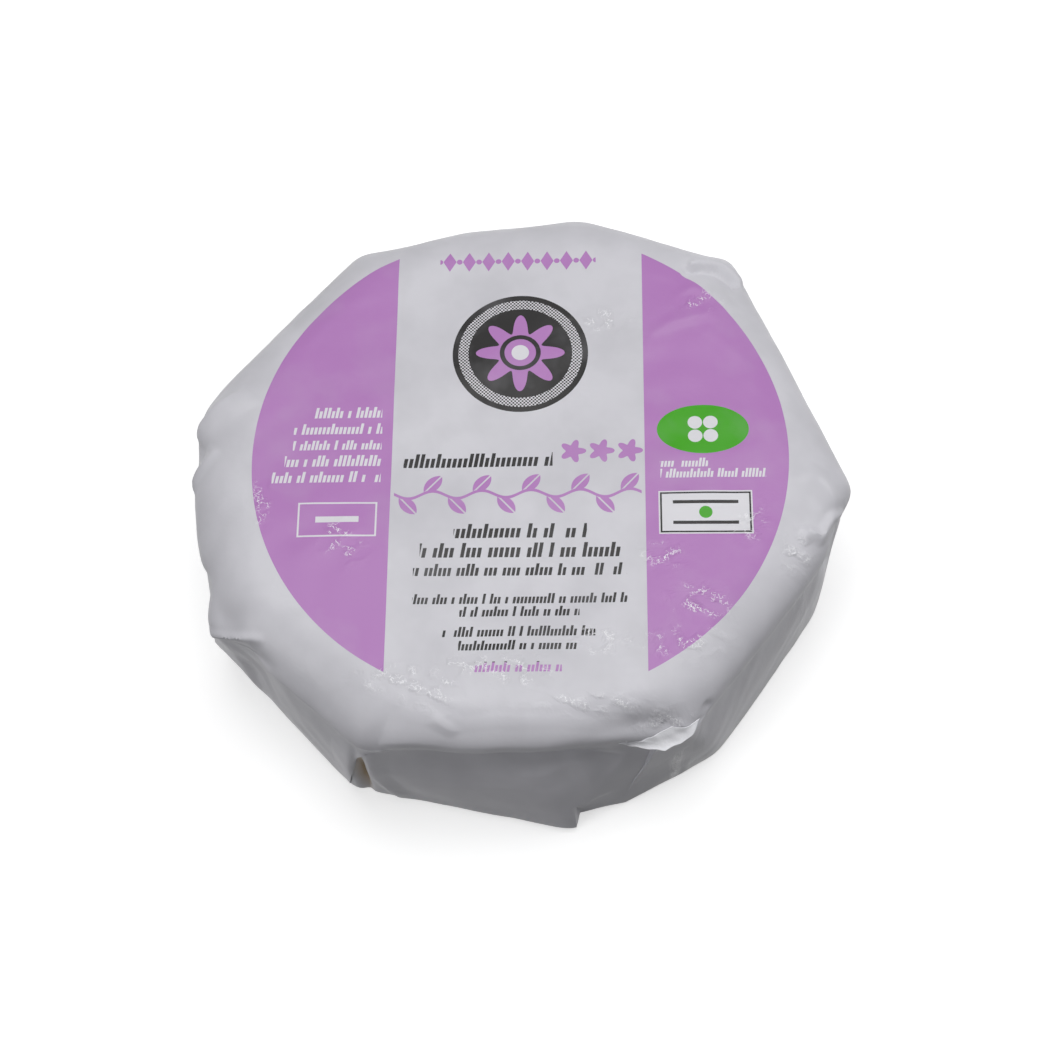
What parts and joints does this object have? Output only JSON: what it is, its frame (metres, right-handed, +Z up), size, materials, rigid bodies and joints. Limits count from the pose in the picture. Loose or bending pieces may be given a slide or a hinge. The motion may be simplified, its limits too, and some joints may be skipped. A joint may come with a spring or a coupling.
{
  "type": "wrapped camembert cheese",
  "caption": "Soft round cheese shut in white coated paper: flat labelled top, rounded shoulder, paper pulled flat between pleated corners and gathered under the base.",
  "frame": {"origin": "middle of the pack's outline on the surface it rests on", "axes": "+Z up, through the flat top; +Y towards the upper edge of the label; +X to the label's right"},
  "size_m": [0.1108, 0.1058, 0.03],
  "materials": {
    "wrapping_paper": "satin waxed paper with a lilac, black and green printed label"
  },
  "bodies": {
    "root": {"wrapped_cheese": "wrapping_paper"}
  },
  "joints": []
}
